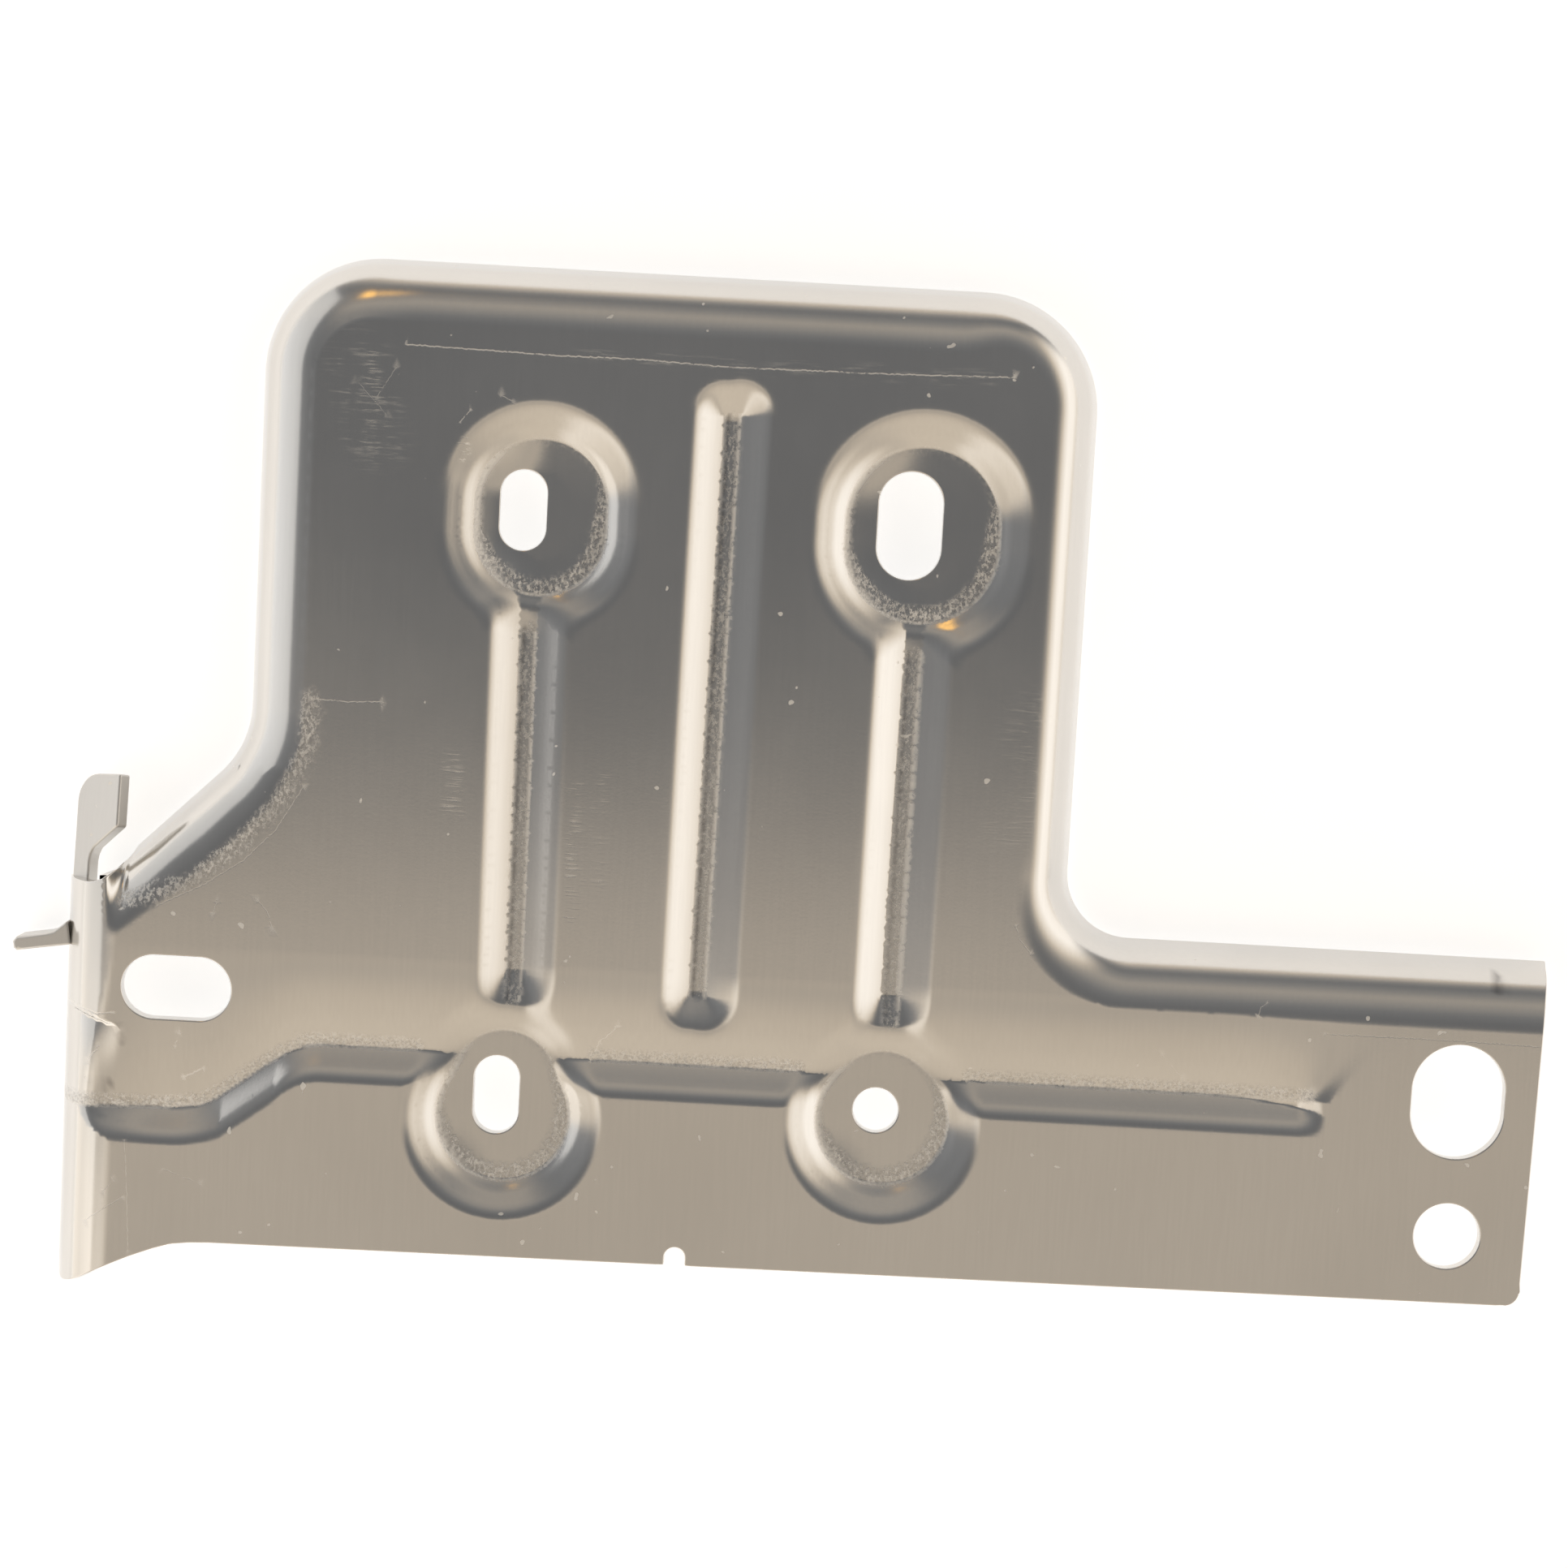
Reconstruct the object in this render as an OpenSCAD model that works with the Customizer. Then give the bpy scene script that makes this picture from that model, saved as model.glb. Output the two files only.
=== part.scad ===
// Fender brace: one pressed and folded aluminium sheet, mm, +Z out of the front face.
// Origin on the mating plane at the round fixing hole; +X along the arm, +Y up the tower.

/* [Sheet] */
// Sheet thickness
sheet_t = 2.0; // [1:0.1:3]
// Depth of the four pressed pads
pad_depth = 2.7; // [1:0.1:5]
// Depth of the grooves and the trough
groove_depth = 2.4; // [1:0.1:4]
// Front radius of every pressed shoulder
shoulder_r = 3.0; // [2.4:0.3:5.1]

/* [Flange] */
// Outside radius of the flange bend
bend_r = 9.0; // [5:0.5:12]
// Bend direction: sine and cosine of the bend angle, a 7-24-25 triangle
bend = [0.96, 0.28];
// Straight lip beyond the bend
lip = 4.0; // [1:0.5:12]

/* [Fold lines] */
// Tower left fold
tower_left = -84.8; // [-100:0.1:-70]
// Tower right fold
tower_right = 16.8; // [5:0.1:30]
// Tower top fold
tower_top = 109.6; // [80:0.1:130]
// Arm top fold
arm_top = 16.9; // [10:0.1:30]
// Left wall fold
wall_fold = -110.6; // [-125:0.1:-100]
// Tower corner radius at the fold
corner_r = 7.5; // [3:0.5:15]
// Inside corner radius at the fold, tower to arm
arm_corner_r = 19; // [12:0.5:30]
// Inside corner radius at the fold, tower to diagonal
diagonal_r = 24; // [12:0.5:40]
// Height where the tower's left fold turns into the diagonal
diagonal_start = 53.8; // [45:0.1:65]

/* [Raw edges] */
// Right end at the bottom corner
arm_end = 95.1; // [80:0.1:120]
// Bottom edge height at the left
bottom_left = -24.6; // [-35:0.1:-15]
// Bottom edge height at the right
bottom_right = -23.2; // [-35:0.1:-15]
// Top end of the left wall
wall_top = 27.3; // [22:0.1:35]
// Bottom end of the left wall
wall_bottom = -32.5; // [-40:0.1:-25]
// Register notch in the bottom edge: position, width, depth
notch = [-28.1, 3.0, 2.6];

/* [Fixing holes] */
// Spacing of the fixing holes along the arm
pitch_x = 55.4; // [40:0.1:80]
// Spacing of the fixing holes up the tower
pitch_y = 85.0; // [60:0.1:110]
// Fixing hole and slot width
fix_w = 6.6; // [5:0.1:9]
// Length of the two left slots
fix_len = 11.5; // [7:0.1:16]
// Width and length of the large tower slot
big_slot = [9.2, 15.4];
// The left pair sits this much lower
pair_drop = 0.8; // [0:0.1:3]

/* [Arm holes] */
// Wall slot: centre and size
wall_slot = [-102.1, 12.7, 15.8, 9.4];
// Arm slot: centre and size
arm_slot = [84.0, 6.5, 13.4, 16.7];
// Arm round hole: centre and diameter
arm_hole = [83.9, -13.3, 9.6];

/* [Pressings] */
// Pad floors: centre, width and height
pad_ul = [-52.8, 83.4, 18.6, 22.2];
pad_ur = [1.8, 83.8, 21.9, 25.0];
pad_ll = [-54.3, -2.2, 19.1, 22.2];
pad_lr = [0.9, -0.8, 19.0, 20.4];
// Flat nose width of the grooves
groove_nose = 2.2; // [1:0.1:5]
// Groove lines: left, middle, right
groove_x = [-53.9, -26.5, 1.2];
// Ends of the middle groove
mid_groove = [15.5, 99];
// Trough line height
trough_y = 5.2; // [0:0.1:10]
// Trough bends at the left: start, radius and straight between them
trough_bend = [-80.5, 12, 9.6];
// Trough right end
trough_end = 62; // [40:1:80]
// Upper edge of the trough slope
trough_rise = 13.7; // [9:0.1:18]

/* [Corner ear] */
// Ear width, top height and yaw
ear = [9.0, 42.3, 36];
// Foot tab length and height on the wall
foot = [7.6, 18.1];

/* [Hidden] */
front = pad_depth + sheet_t;
back = front - sheet_t;
in_r = bend_r - sheet_t;
down = [bend[1], -bend[0]];
corner_k = bend[0] / (1 + bend[1]);
rim = bend_r * bend[0] + lip * bend[1];
foot_z = front - bend_r + in_r * bend[1] - lip * bend[0];
slope_t = sheet_t / 3;
big = 400;
metal = [0.72, 0.70, 0.67];
half_turn = sqrt(0.5);
// Turns whose sine and cosine are short decimals: 3-4-5, and two that make 45.57 degrees
small_turn = [atan2(0.6, 0.8)];
wide_turn = [atan2(0.658944, 0.752192), atan2(0.07584, 0.99712)];
dia_cos = cos(wide_turn[0] + wide_turn[1]);
dia_sin = sin(wide_turn[0] + wide_turn[1]);
// Where the diagonal flange's bend ends, and the height where its fold meets the wall fold
dia_x = tower_left - diagonal_r * (1 - dia_cos);
dia_y = diagonal_start - diagonal_r * dia_sin;
diagonal_foot = dia_y - (dia_x - wall_fold) * dia_cos / dia_sin;
strip = 4;
inset = 3;
// Fold line from the arm end round the tower to the wall: length, then radius, turn, side
fold = [
  [arm_end + 4 - tower_right - arm_corner_r, arm_corner_r, [90], -1],
  [tower_top - arm_top - arm_corner_r - corner_r, corner_r, [90], 1],
  [tower_right - tower_left - 2 * corner_r, corner_r, [90], 1],
  [tower_top - corner_r - diagonal_start, diagonal_r, wide_turn, -1],
  [30, 0, [0], 0]];

// Turns by a list of angles, or by their opposites
module spin(t, way_round = 1, i = 0) if (i < len(t)) rotate(way_round * t[i])
  spin(t, way_round, i + 1) children();
else children();

// A section revolved by a turn from the x axis
module arc(r, t) difference() {
  rotate_extrude() translate([r, 0]) children();
  translate([-100, -200, -50]) cube([200, 200, 100]);
  spin(t) translate([-100, 0, -50]) cube([200, 200, 100]);
}

// Sweeps a section along steps of length, radius, turn and side (1 is to the left),
// starting along +Y: section x is to the right of the way
module way(steps, i = 0) {
  l = steps[i][0];
  side = steps[i][3];
  r = steps[i][1] * side;
  translate([0, l, 0]) rotate([90, 0, 0]) linear_extrude(l) children();
  if (side != 0) translate([-r, l, 0]) {
    if (side > 0) arc(r, steps[i][2]) children();
    else mirror([1, 0, 0]) arc(-r, steps[i][2]) mirror([1, 0]) children();
    spin(steps[i][2], side) translate([r, 0, 0]) way(steps, i + 1) children();
  }
}

// The piece between a square corner at the origin and its rounding, sides along -x and +y
module corner_bit(r, e = 0) difference() {
  polygon([[-r, -e], [e, -e], [e, r], [-r, r]]);
  translate([-r, r]) circle(r);
}

// The piece between the corner of the flange's bend and its rounding, centre at the origin,
// reaching past the corner's two sides by e
module bend_bit(r, e) difference() {
  polygon([[0, 0], [0, r + e], [(r + e) * corner_k, r + e], (r + e) * bend]);
  circle(r);
}

// Section of the flange: x outward from the fold, y up, with a flat strip inside the fold
module flange_section(inside = strip) translate([0, front - bend_r]) difference() {
  union() {
    polygon([[-inside, in_r], [in_r * corner_k, in_r], in_r * bend + lip * down,
      bend_r * bend + lip * down, [bend_r * corner_k, bend_r], [-inside, bend_r]]);
    bend_bit(in_r, 0.4);
  }
  bend_bit(bend_r, 0.4);
}

// Half section of a pressing as cut from the front: floor half width a, depth d, 3:4 walls
module front_half(a, d) {
  w = d * 4 / 3;
  t = shoulder_r / 3;
  polygon([[0, front - d], [a, front - d], [a + w, front], [0, front]]);
  difference() {
    polygon([[a + w - 0.8 * t, front - 0.6 * t], [a + w + t, front], [a + w - t, front]]);
    translate([a + w + t, front - shoulder_r]) circle(shoulder_r);
  }
}

// The same pressing as it stands out at the back, one sheet thickness further
module back_half(a, d) {
  w = d * 4 / 3 + slope_t;
  polygon([[0, front - d - sheet_t], [a + slope_t, front - d - sheet_t],
    [a + w, back], [a + w, back + 0.5], [0, back + 0.5]]);
}

module half(side, a, d) {
  if (side > 0) front_half(a, d);
  else back_half(a, d);
}

// Obround pressing, floor given as centre x, centre y, width, height
module pad(side, f, d) {
  r = f[2] / 2;
  s = (f[3] - f[2]) / 2;
  for (e = [-1, 1]) translate([f[0], f[1] + e * s, 0]) rotate_extrude() half(side, r, d);
  translate([f[0], f[1] + s, 0]) rotate([90, 0, 0]) linear_extrude(2 * s) {
    half(side, r, d);
    mirror([1, 0]) half(side, r, d);
  }
}

// Straight groove up the tower between two heights
module groove(side, x, y0, y1)
  translate([x, y1, 0]) rotate([90, 0, 0]) linear_extrude(y1 - y0) {
    half(side, groove_nose / 2, groove_depth);
    mirror([1, 0]) half(side, groove_nose / 2, groove_depth);
  }

// Trough along the arm, stepping down at the left: steep on the low side of its line,
// flat to the level of the line and a long slope on the high side
module trough(side) {
  e = side > 0 ? 0 : 0.3;
  floor_z = front - groove_depth - (side > 0 ? 0 : sheet_t);
  top_z = side > 0 ? front : back + 0.5;
  level = trough_y + 0.3 + e;
  run_out = side > 0 ? 20 : 12;
  difference() {
    union() {
      intersection() {
        translate([trough_end + 4, trough_y, 0]) rotate(90) way([
          [trough_end + 4 - trough_bend[0], trough_bend[1], small_turn, 1],
          [trough_bend[2], trough_bend[1], small_turn, -1], [run_out, 0, [0], 0]]) {
            mirror([1, 0]) half(side, 0.3, groove_depth);
            translate([-0.15, floor_z]) square([11.35, top_z - floor_z]);
          }
        translate([-big / 2, level - 40, floor_z - 1]) cube([big, 40, 20]);
      }
      translate([wall_fold - 14, 0, 0]) rotate([90, 0, 90])
        linear_extrude(trough_end + 18 - wall_fold)
          polygon([[level, floor_z], [trough_rise + e, side > 0 ? front : back],
            [trough_rise + e, top_z], [level, top_z]]);
    }
    // sloped right end
    translate([trough_end + (side > 0 ? 0 : slope_t), 0, floor_z]) rotate([0, 53.1301, 0])
      translate([0, -50, -20]) cube([20, 100, 40]);
  }
}

module pressings(side) {
  for (f = [pad_ul, pad_ur, pad_ll, pad_lr]) pad(side, f, pad_depth);
  groove(side, groove_x[0], trough_y + 1, pad_ul[1]);
  groove(side, groove_x[2], trough_y + 1, pad_ur[1]);
  groove(side, groove_x[1], mid_groove[0], mid_groove[1]);
  for (y = mid_groove) translate([groove_x[1], y, 0])
    rotate_extrude() half(side, groove_nose / 2, groove_depth);
  trough(side);
}

// Flat sheet inside the folds: its fold sides stop short, inside the flanges' flat strips
module flat_sheet() {
  k = inset;
  arm_c = [tower_right + arm_corner_r, arm_top + arm_corner_r];
  arm_k = (arm_corner_r + k) * half_turn;
  translate([0, 0, back]) linear_extrude(sheet_t) polygon([
    [wall_fold + k, wall_bottom], [-96, wall_bottom], [-96, bottom_left],
    [arm_end, bottom_right], [arm_end + 6, bottom_right], [arm_end + 6, arm_top - k],
    [arm_c[0], arm_top - k], [arm_c[0] - arm_k, arm_c[1] - arm_k], [tower_right - k, arm_c[1]],
    [tower_right - k, tower_top - k], [tower_left + k, tower_top - k],
    [tower_left + k, diagonal_start], [dia_x + k * dia_cos, dia_y - k * dia_sin],
    [wall_fold + k, diagonal_foot - k * (1 - dia_cos) / dia_sin]]);
}

// Left wall flange and the diagonal flange that runs out against it
module flanges() {
  difference() {
    translate([arm_end + 4, arm_top, 0]) rotate(90) way(fold) flange_section();
    translate([wall_fold - big, -big / 2, -big / 2]) cube([big, big, big]);
  }
  corner = floor(diagonal_foot * 10 - 1) / 10;
  translate([wall_fold, corner, 0]) rotate(180) way([[corner - wall_bottom, 0, [0], 0]])
    flange_section();
  // upper end of the wall, crushed a little lower than the rest
  difference() {
    translate([wall_fold, wall_top, -0.4]) rotate(180)
      way([[wall_top - corner + 0.5, 0, [0], 0]]) flange_section(1);
    translate([wall_fold - 20, wall_top - 20, foot_z - 10.05]) cube([20, 30, 10]);
  }
  // metal crushed into the corner between the two bends
  translate([wall_fold - 1.6, wall_top - 5.3, back - 3.4]) cube([1.9, 5.3, 4.4]);
}

// Swoop of the raw bottom edge down to the wall
module bottom_trim() translate([0, 0, -big / 2]) linear_extrude(big) {
  r = 23;
  a = 24;
  x0 = -98;
  translate([x0, bottom_left - r]) circle(r);
  polygon([[x0 - (r - 0.3) * sin(a), bottom_left - r + (r - 0.3) * cos(a)], [wall_fold - 8, wall_bottom],
    [wall_fold - 8, wall_bottom - 9], [x0, wall_bottom - 9], [x0, bottom_left - r]]);
  polygon([[x0, bottom_left], [x0, wall_bottom - 9], [-90, wall_bottom - 9], [-90, bottom_left]]);
}

module slot(c, w, l) translate([0, 0, -20]) linear_extrude(40) translate(c) {
  s = (l - w) / 2;
  for (e = [-1, 1]) translate([0, e * s]) circle(d = w);
  square([w, 2 * s], center = true);
}

module holes() {
  translate([0, 0, -20]) cylinder(d = fix_w, h = 40);
  slot([-pitch_x, -pair_drop], fix_w, fix_len);
  slot([-pitch_x, pitch_y - pair_drop], fix_w, fix_len);
  slot([0, pitch_y], big_slot[0], big_slot[1]);
  translate([wall_slot[0], wall_slot[1], 0]) rotate(90) slot([0, 0], wall_slot[3], wall_slot[2]);
  slot([arm_slot[0], arm_slot[1]], arm_slot[2], arm_slot[3]);
  translate([arm_hole[0], arm_hole[1], -20]) cylinder(d = arm_hole[2], h = 40);
  translate([notch[0] - notch[1] / 2, bottom_left - 5, -20])
    cube([notch[1], notch[2] + 5.7, 40]);
}

// Ear leaf, narrow where it leaves the wall and rounded at the top left
module ear_outline(w, h) difference() {
  polygon([[0, -9], [3.4, -9], [3.4, 3], [4.2, 4.4], [w, 7.6], [w, h], [0, h]]);
  translate([0, h]) rotate(180) corner_bit(4, 1);
}

// Upright ear above the wall and the foot tab lanced out of it
module ear_leaf() {
  translate([wall_fold - rim + 0.9, wall_top, foot_z + 3.4]) rotate([-8, 0, 0])
    rotate([0, -ear[2], 0]) translate([0, 0, -sheet_t]) linear_extrude(sheet_t)
      ear_outline(ear[0], ear[1] - wall_top);
}

module foot_tab() translate([wall_fold - rim, foot[1], foot_z + 0.3]) rotate(9.3)
  linear_extrude(5.4) {
    translate([-foot[0] + 0.6, -1]) square([foot[0] + 1.4, sheet_t]);
    translate([0.6, 1]) corner_bit(3);
  }

module brace() color(metal) difference() {
  union() {
    flat_sheet();
    flanges();
    intersection() {
      pressings(-1);
      translate([wall_fold - 6, -big / 2, -20]) cube([big, big, 40]);
    }
    ear_leaf();
    foot_tab();
  }
  pressings(1);
  bottom_trim();
  holes();
  // raw right end, slightly slanted, with its rounded lower corner
  translate([arm_end, bottom_right, front]) rotate([0, -11.5, -0.7])
    translate([0, 0, -30]) linear_extrude(60) {
      translate([0, -20]) square([30, 100]);
      translate([0, -0.15]) corner_bit(2.2, 1);
    }
}

brace();
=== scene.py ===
"""A pressed and folded aluminium fender brace, lying on a pale floor, seen from above.

The visual piece is one closed sheet whose outer surface is a height field over the plan:
fold bends, pads, grooves and the stepped trough are formulas in millimetres, taken from
the CAD's own sizes.
"""
import math
import random

import bpy
import numpy as np
from mathutils import Matrix, Vector
from mathutils.geometry import delaunay_2d_cdt


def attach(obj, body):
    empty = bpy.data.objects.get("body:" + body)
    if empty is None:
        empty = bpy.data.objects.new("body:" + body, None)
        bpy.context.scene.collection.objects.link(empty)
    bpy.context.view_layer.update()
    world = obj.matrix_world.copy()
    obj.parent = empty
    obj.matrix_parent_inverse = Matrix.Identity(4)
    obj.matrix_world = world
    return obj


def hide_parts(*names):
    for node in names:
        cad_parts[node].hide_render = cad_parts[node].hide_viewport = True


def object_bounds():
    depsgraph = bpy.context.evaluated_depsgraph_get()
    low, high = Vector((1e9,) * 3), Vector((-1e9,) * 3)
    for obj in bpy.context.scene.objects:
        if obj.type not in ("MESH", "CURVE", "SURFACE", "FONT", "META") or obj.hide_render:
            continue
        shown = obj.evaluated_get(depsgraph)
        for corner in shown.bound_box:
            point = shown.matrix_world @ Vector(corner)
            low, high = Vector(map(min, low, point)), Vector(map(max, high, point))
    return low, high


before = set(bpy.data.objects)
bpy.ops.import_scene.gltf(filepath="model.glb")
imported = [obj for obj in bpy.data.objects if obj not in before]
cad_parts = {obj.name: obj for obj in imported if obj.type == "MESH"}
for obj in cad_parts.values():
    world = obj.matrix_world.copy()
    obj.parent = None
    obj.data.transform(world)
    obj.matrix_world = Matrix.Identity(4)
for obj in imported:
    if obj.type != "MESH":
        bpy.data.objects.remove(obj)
CAD_BOX = [list(c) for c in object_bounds()]
random.seed(7)
MM = 0.001

# Sizes in mm, as in the CAD
T = 2.0
FRONT = 4.7
BEND_R, BEND_SIN, BEND_COS, LIP = 9.0, 0.96, 0.28, 4.0
RIM = BEND_R * BEND_SIN + LIP * BEND_COS
TOWER_L, TOWER_R, TOWER_T = -84.8, 16.8, 109.6
ARM_TOP, ARM_END, WALL = 16.9, 95.1, -110.6
CORNER_R, ARM_R, DIA_R, DIA_Y0 = 7.5, 19.0, 24.0, 53.8
DIA = math.radians(45.5689)
BOTTOM_L, BOTTOM_R, WALL_TOP = -24.6, -23.2, 27.3
PAD_D, GROOVE_D = 2.7, 2.4
NOSE = 1.1               # half the flat width of a groove's bottom
PAD_RUN, GROOVE_RUN, TROUGH_RUN = 6.0, 5.7, 5.6  # plan widths of their walls
EDGE_R = 0.22            # rounding of the cut edges
TROUGH_Y, TROUGH_LOW = 5.2, -5.36


def smax(a, b, k):
    """The larger of two, rounded over a zone k wide."""
    h = np.maximum(k - np.abs(a - b), 0.0) / k
    return np.maximum(a, b) + h * h * k * 0.25


def smin(a, b, k):
    return -smax(-a, -b, k)


def smooth(x, a, b):
    t = np.clip((x - a) / (b - a), 0, 1)
    return t * t * (3 - 2 * t)


# --- The fold line, from the arm's end round the tower to the wall -------------------------

DIA_CX = TOWER_L - DIA_R
DIA_P = (DIA_CX + DIA_R * math.cos(DIA), DIA_Y0 - DIA_R * math.sin(DIA))
DIA_DIR = (-math.sin(DIA), -math.cos(DIA))
DIA_RUN = (DIA_P[0] - WALL) / math.sin(DIA)
DIA_FOOT = DIA_P[1] - DIA_RUN * math.cos(DIA)


def beside(x, y, a, way):
    """Signed distance from the line through a, positive to the right of its way."""
    return (x - a[0]) * way[1] - (y - a[1]) * way[0]


def out_of_fold(x, y):
    """Distance outside the tower, arm and diagonal fold, negative inside."""
    # tower box with its rounded corners
    cx, cy = (TOWER_L + TOWER_R) / 2, (TOWER_T - 60) / 2
    hx, hy = (TOWER_R - TOWER_L) / 2 - CORNER_R, (TOWER_T + 60) / 2 - CORNER_R
    qx, qy = np.abs(x - cx) - hx, np.abs(y - cy) - hy
    box = np.hypot(np.maximum(qx, 0), np.maximum(qy, 0)) + np.minimum(np.maximum(qx, qy), 0)
    box -= CORNER_R
    arm = y - ARM_TOP
    dia = beside(x, y, DIA_P, DIA_DIR)
    # inside corner to the arm: the union's edge is rounded by a circle outside the sheet
    ac = (TOWER_R + ARM_R, ARM_TOP + ARM_R)
    zone = (x < ac[0]) & (y < ac[1]) & (x > TOWER_R - 20) & (y > ARM_TOP - 20)
    right = np.where(zone, ARM_R - np.hypot(x - ac[0], y - ac[1]), np.minimum(box, arm))
    # inside corner to the diagonal
    dc = (DIA_CX, DIA_Y0)
    ang = np.arctan2(dc[1] - y, x - dc[0])
    left = np.where((ang > 0) & (ang < DIA) & (x > dc[0]) & (y < dc[1]),
                    DIA_R - np.hypot(x - dc[0], y - dc[1]),
                    np.where(y >= dc[1], box, dia))
    return np.where(x < cx, np.where(y >= dc[1], box, left), right)


def bend_z(u):
    """Height of the outer surface over the plan distance outside a fold."""
    u = np.maximum(u, 0)
    ub = BEND_R * BEND_SIN
    ring = FRONT - BEND_R + np.sqrt(np.maximum(BEND_R ** 2 - np.minimum(u, ub) ** 2, 0))
    return ring - np.maximum(u - ub, 0) * BEND_SIN / BEND_COS


# --- Pressings ----------------------------------------------------------------------------

# centre x, low and high centres of the ends, low and high radius
PADS = [
    (-52.8, 81.6, 85.2, 9.3, 9.3),
    (1.8, 82.25, 85.35, 10.95, 10.95),
    (-54.35, -3.7, 1.5, 9.6, 7.3),
    (0.9, -1.3, 1.2, 9.55, 7.6),
]
# how far each pad's floor lifts towards its rim
DISH = (1.3, 0.75, 0.35, 0.35)
# x at the foot and the head, y of both, and how quickly the foot fades out
GROOVES = ((-53.6, -53.9, 17.5, 77, 0.5), (-26.9, -26.2, 15.5, 99, 0.85), (1.0, 1.5, 17.0, 79, 0.5))
# the trough's shallow side starts at this y
TROUGH_TOP = 19.0


def bowl(t, foot=0.75, steep=0.5):
    """Share of the depth over the wall from floor (0) to rim (1), steepest halfway up, soft above."""
    t = np.clip(t, 0, 1)
    v = np.clip((t - steep) / (1 - steep), 0, 1)
    upper = (1 - steep) * ((1 - v) / 2 - np.sin(math.pi * v) / (2 * math.pi))
    full = (1 - steep) / 2 + foot * steep + (1 - foot) * steep * 2 / math.pi
    q = np.minimum(t, steep)
    lower = foot * (steep - q) + (1 - foot) * steep * 2 / math.pi * np.cos(math.pi / 2 * q / steep)
    return (upper + lower) / full


def capsule(x, y, cx, y0, y1, r0, r1):
    """Distance outside an upright shape with round ends of radius r0 (low) and r1 (high)."""
    h = y1 - y0
    px, py = np.abs(x - cx), y - y0
    b = (r0 - r1) / h
    a = math.sqrt(1 - b * b)
    k = -b * px + a * py
    side = px * a + py * b - r0
    return np.where(k < 0, np.hypot(px, py) - r0,
                    np.where(k > a * h, np.hypot(px, py - h) - r1, side))


def trough_line(x):
    """The y of the trough's crisp line, and the cosine of its slope."""
    c, s = 0.8, 0.6
    r, straight = 12.0, 9.6
    x0 = -80.5
    x1, y1 = x0 - r * s, TROUGH_Y - r * (1 - c)
    x2 = x1 - straight * c
    x3 = x2 - r * s
    d0 = np.clip(x0 - x, 0, r * s)
    d1 = np.clip(x - x3, 0, r * s)
    y = TROUGH_Y - (r - np.sqrt(r * r - d0 * d0))
    y = np.where(x < x1, y1 - (x1 - x) * s / c, y)
    y = np.where(x < x2, TROUGH_LOW + (r - np.sqrt(r * r - d1 * d1)), y)
    y = np.where(x < x3, TROUGH_LOW, y)
    sl = np.where(x > x1, d0 / r, np.where(x > x2, s, d1 / r))
    return y, np.sqrt(1 - np.clip(sl, 0, s) ** 2)


def depth(x, y):
    """Depth of all pressings under the front plane."""
    # pads and grooves share one distance: 0 on the floors, 1 at the outer shoulder
    t, pad, lift = np.full_like(x, 2.0), np.full_like(x, 2.0), np.zeros_like(x)
    for (cx, y0, y1, r0, r1), dish in zip(PADS, DISH):
        d = capsule(x, y, cx, y0, y1, r0, r1)
        side = smooth(np.clip((cx - x) / r0, -1, 1), -0.2, 0.8)
        q = np.clip(1 + np.minimum(d, 0) / 5, 0, 1) ** 1.3
        one = d / PAD_RUN
        lift = np.where(one < 1.2, dish * (0.12 + 0.88 * side) * (q - 0.5), lift)
        pad = np.minimum(pad, one)
        t = np.where(one < t + 0.5, smin(t, one, 0.4), t)
    for gx0, gx1, y0, y1, fade in GROOVES:
        gx = gx0 + (gx1 - gx0) * np.clip((y - y0) / (y1 - y0), 0, 1)
        past_end = np.maximum(np.maximum((y0 - y) * fade, y - y1), 0)
        d = np.hypot(np.maximum(np.abs(x - gx) - NOSE, 0), past_end)
        t = smin(t, d / (GROOVE_RUN + 0.4 * smooth(x - gx, -1.0, 1.0)), 0.4)
    t = np.clip(t, 0, 1)
    deep = GROOVE_D + (PAD_D - GROOVE_D) * (1 - smooth(pad, 0, 0.35))
    total = bowl(t) * (deep - lift * (1 - smooth(pad, 0.3, 1.0)))
    # the trough: a steep side below its crisp line, a long shallow one above
    yc, cs = trough_line(x)
    near_wall = 1 - 0.5 * smooth(-x, 104, 115)
    steep = GROOVE_D * bowl((yc - y) * cs / TROUGH_RUN, 0.85, 0.42)
    q = np.clip((TROUGH_TOP - y) / (TROUGH_TOP - yc), 0, 1.25)
    gentle = GROOVE_D * q * q * (1 - smooth(x, 48, 80))
    end = 1 - smooth(x, 60.6, 65.5 + 0.8 * np.maximum(y - yc, 0))
    trough = np.maximum(smin(steep, gentle, 0.2) * near_wall * end, 0)
    return PAD_D * (1 - (1 - total / PAD_D) * (1 - trough / PAD_D))


def reach(x, y, r=1.3):
    """The greatest depth close to a point."""
    q = 0.7 * r
    near_by = [(0, 0), (r, 0), (-r, 0), (0, r), (0, -r), (q, q), (q, -q), (-q, q), (-q, -q)]
    return np.max([depth(x + a, y + b) for a, b in near_by], axis=0)


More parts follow.
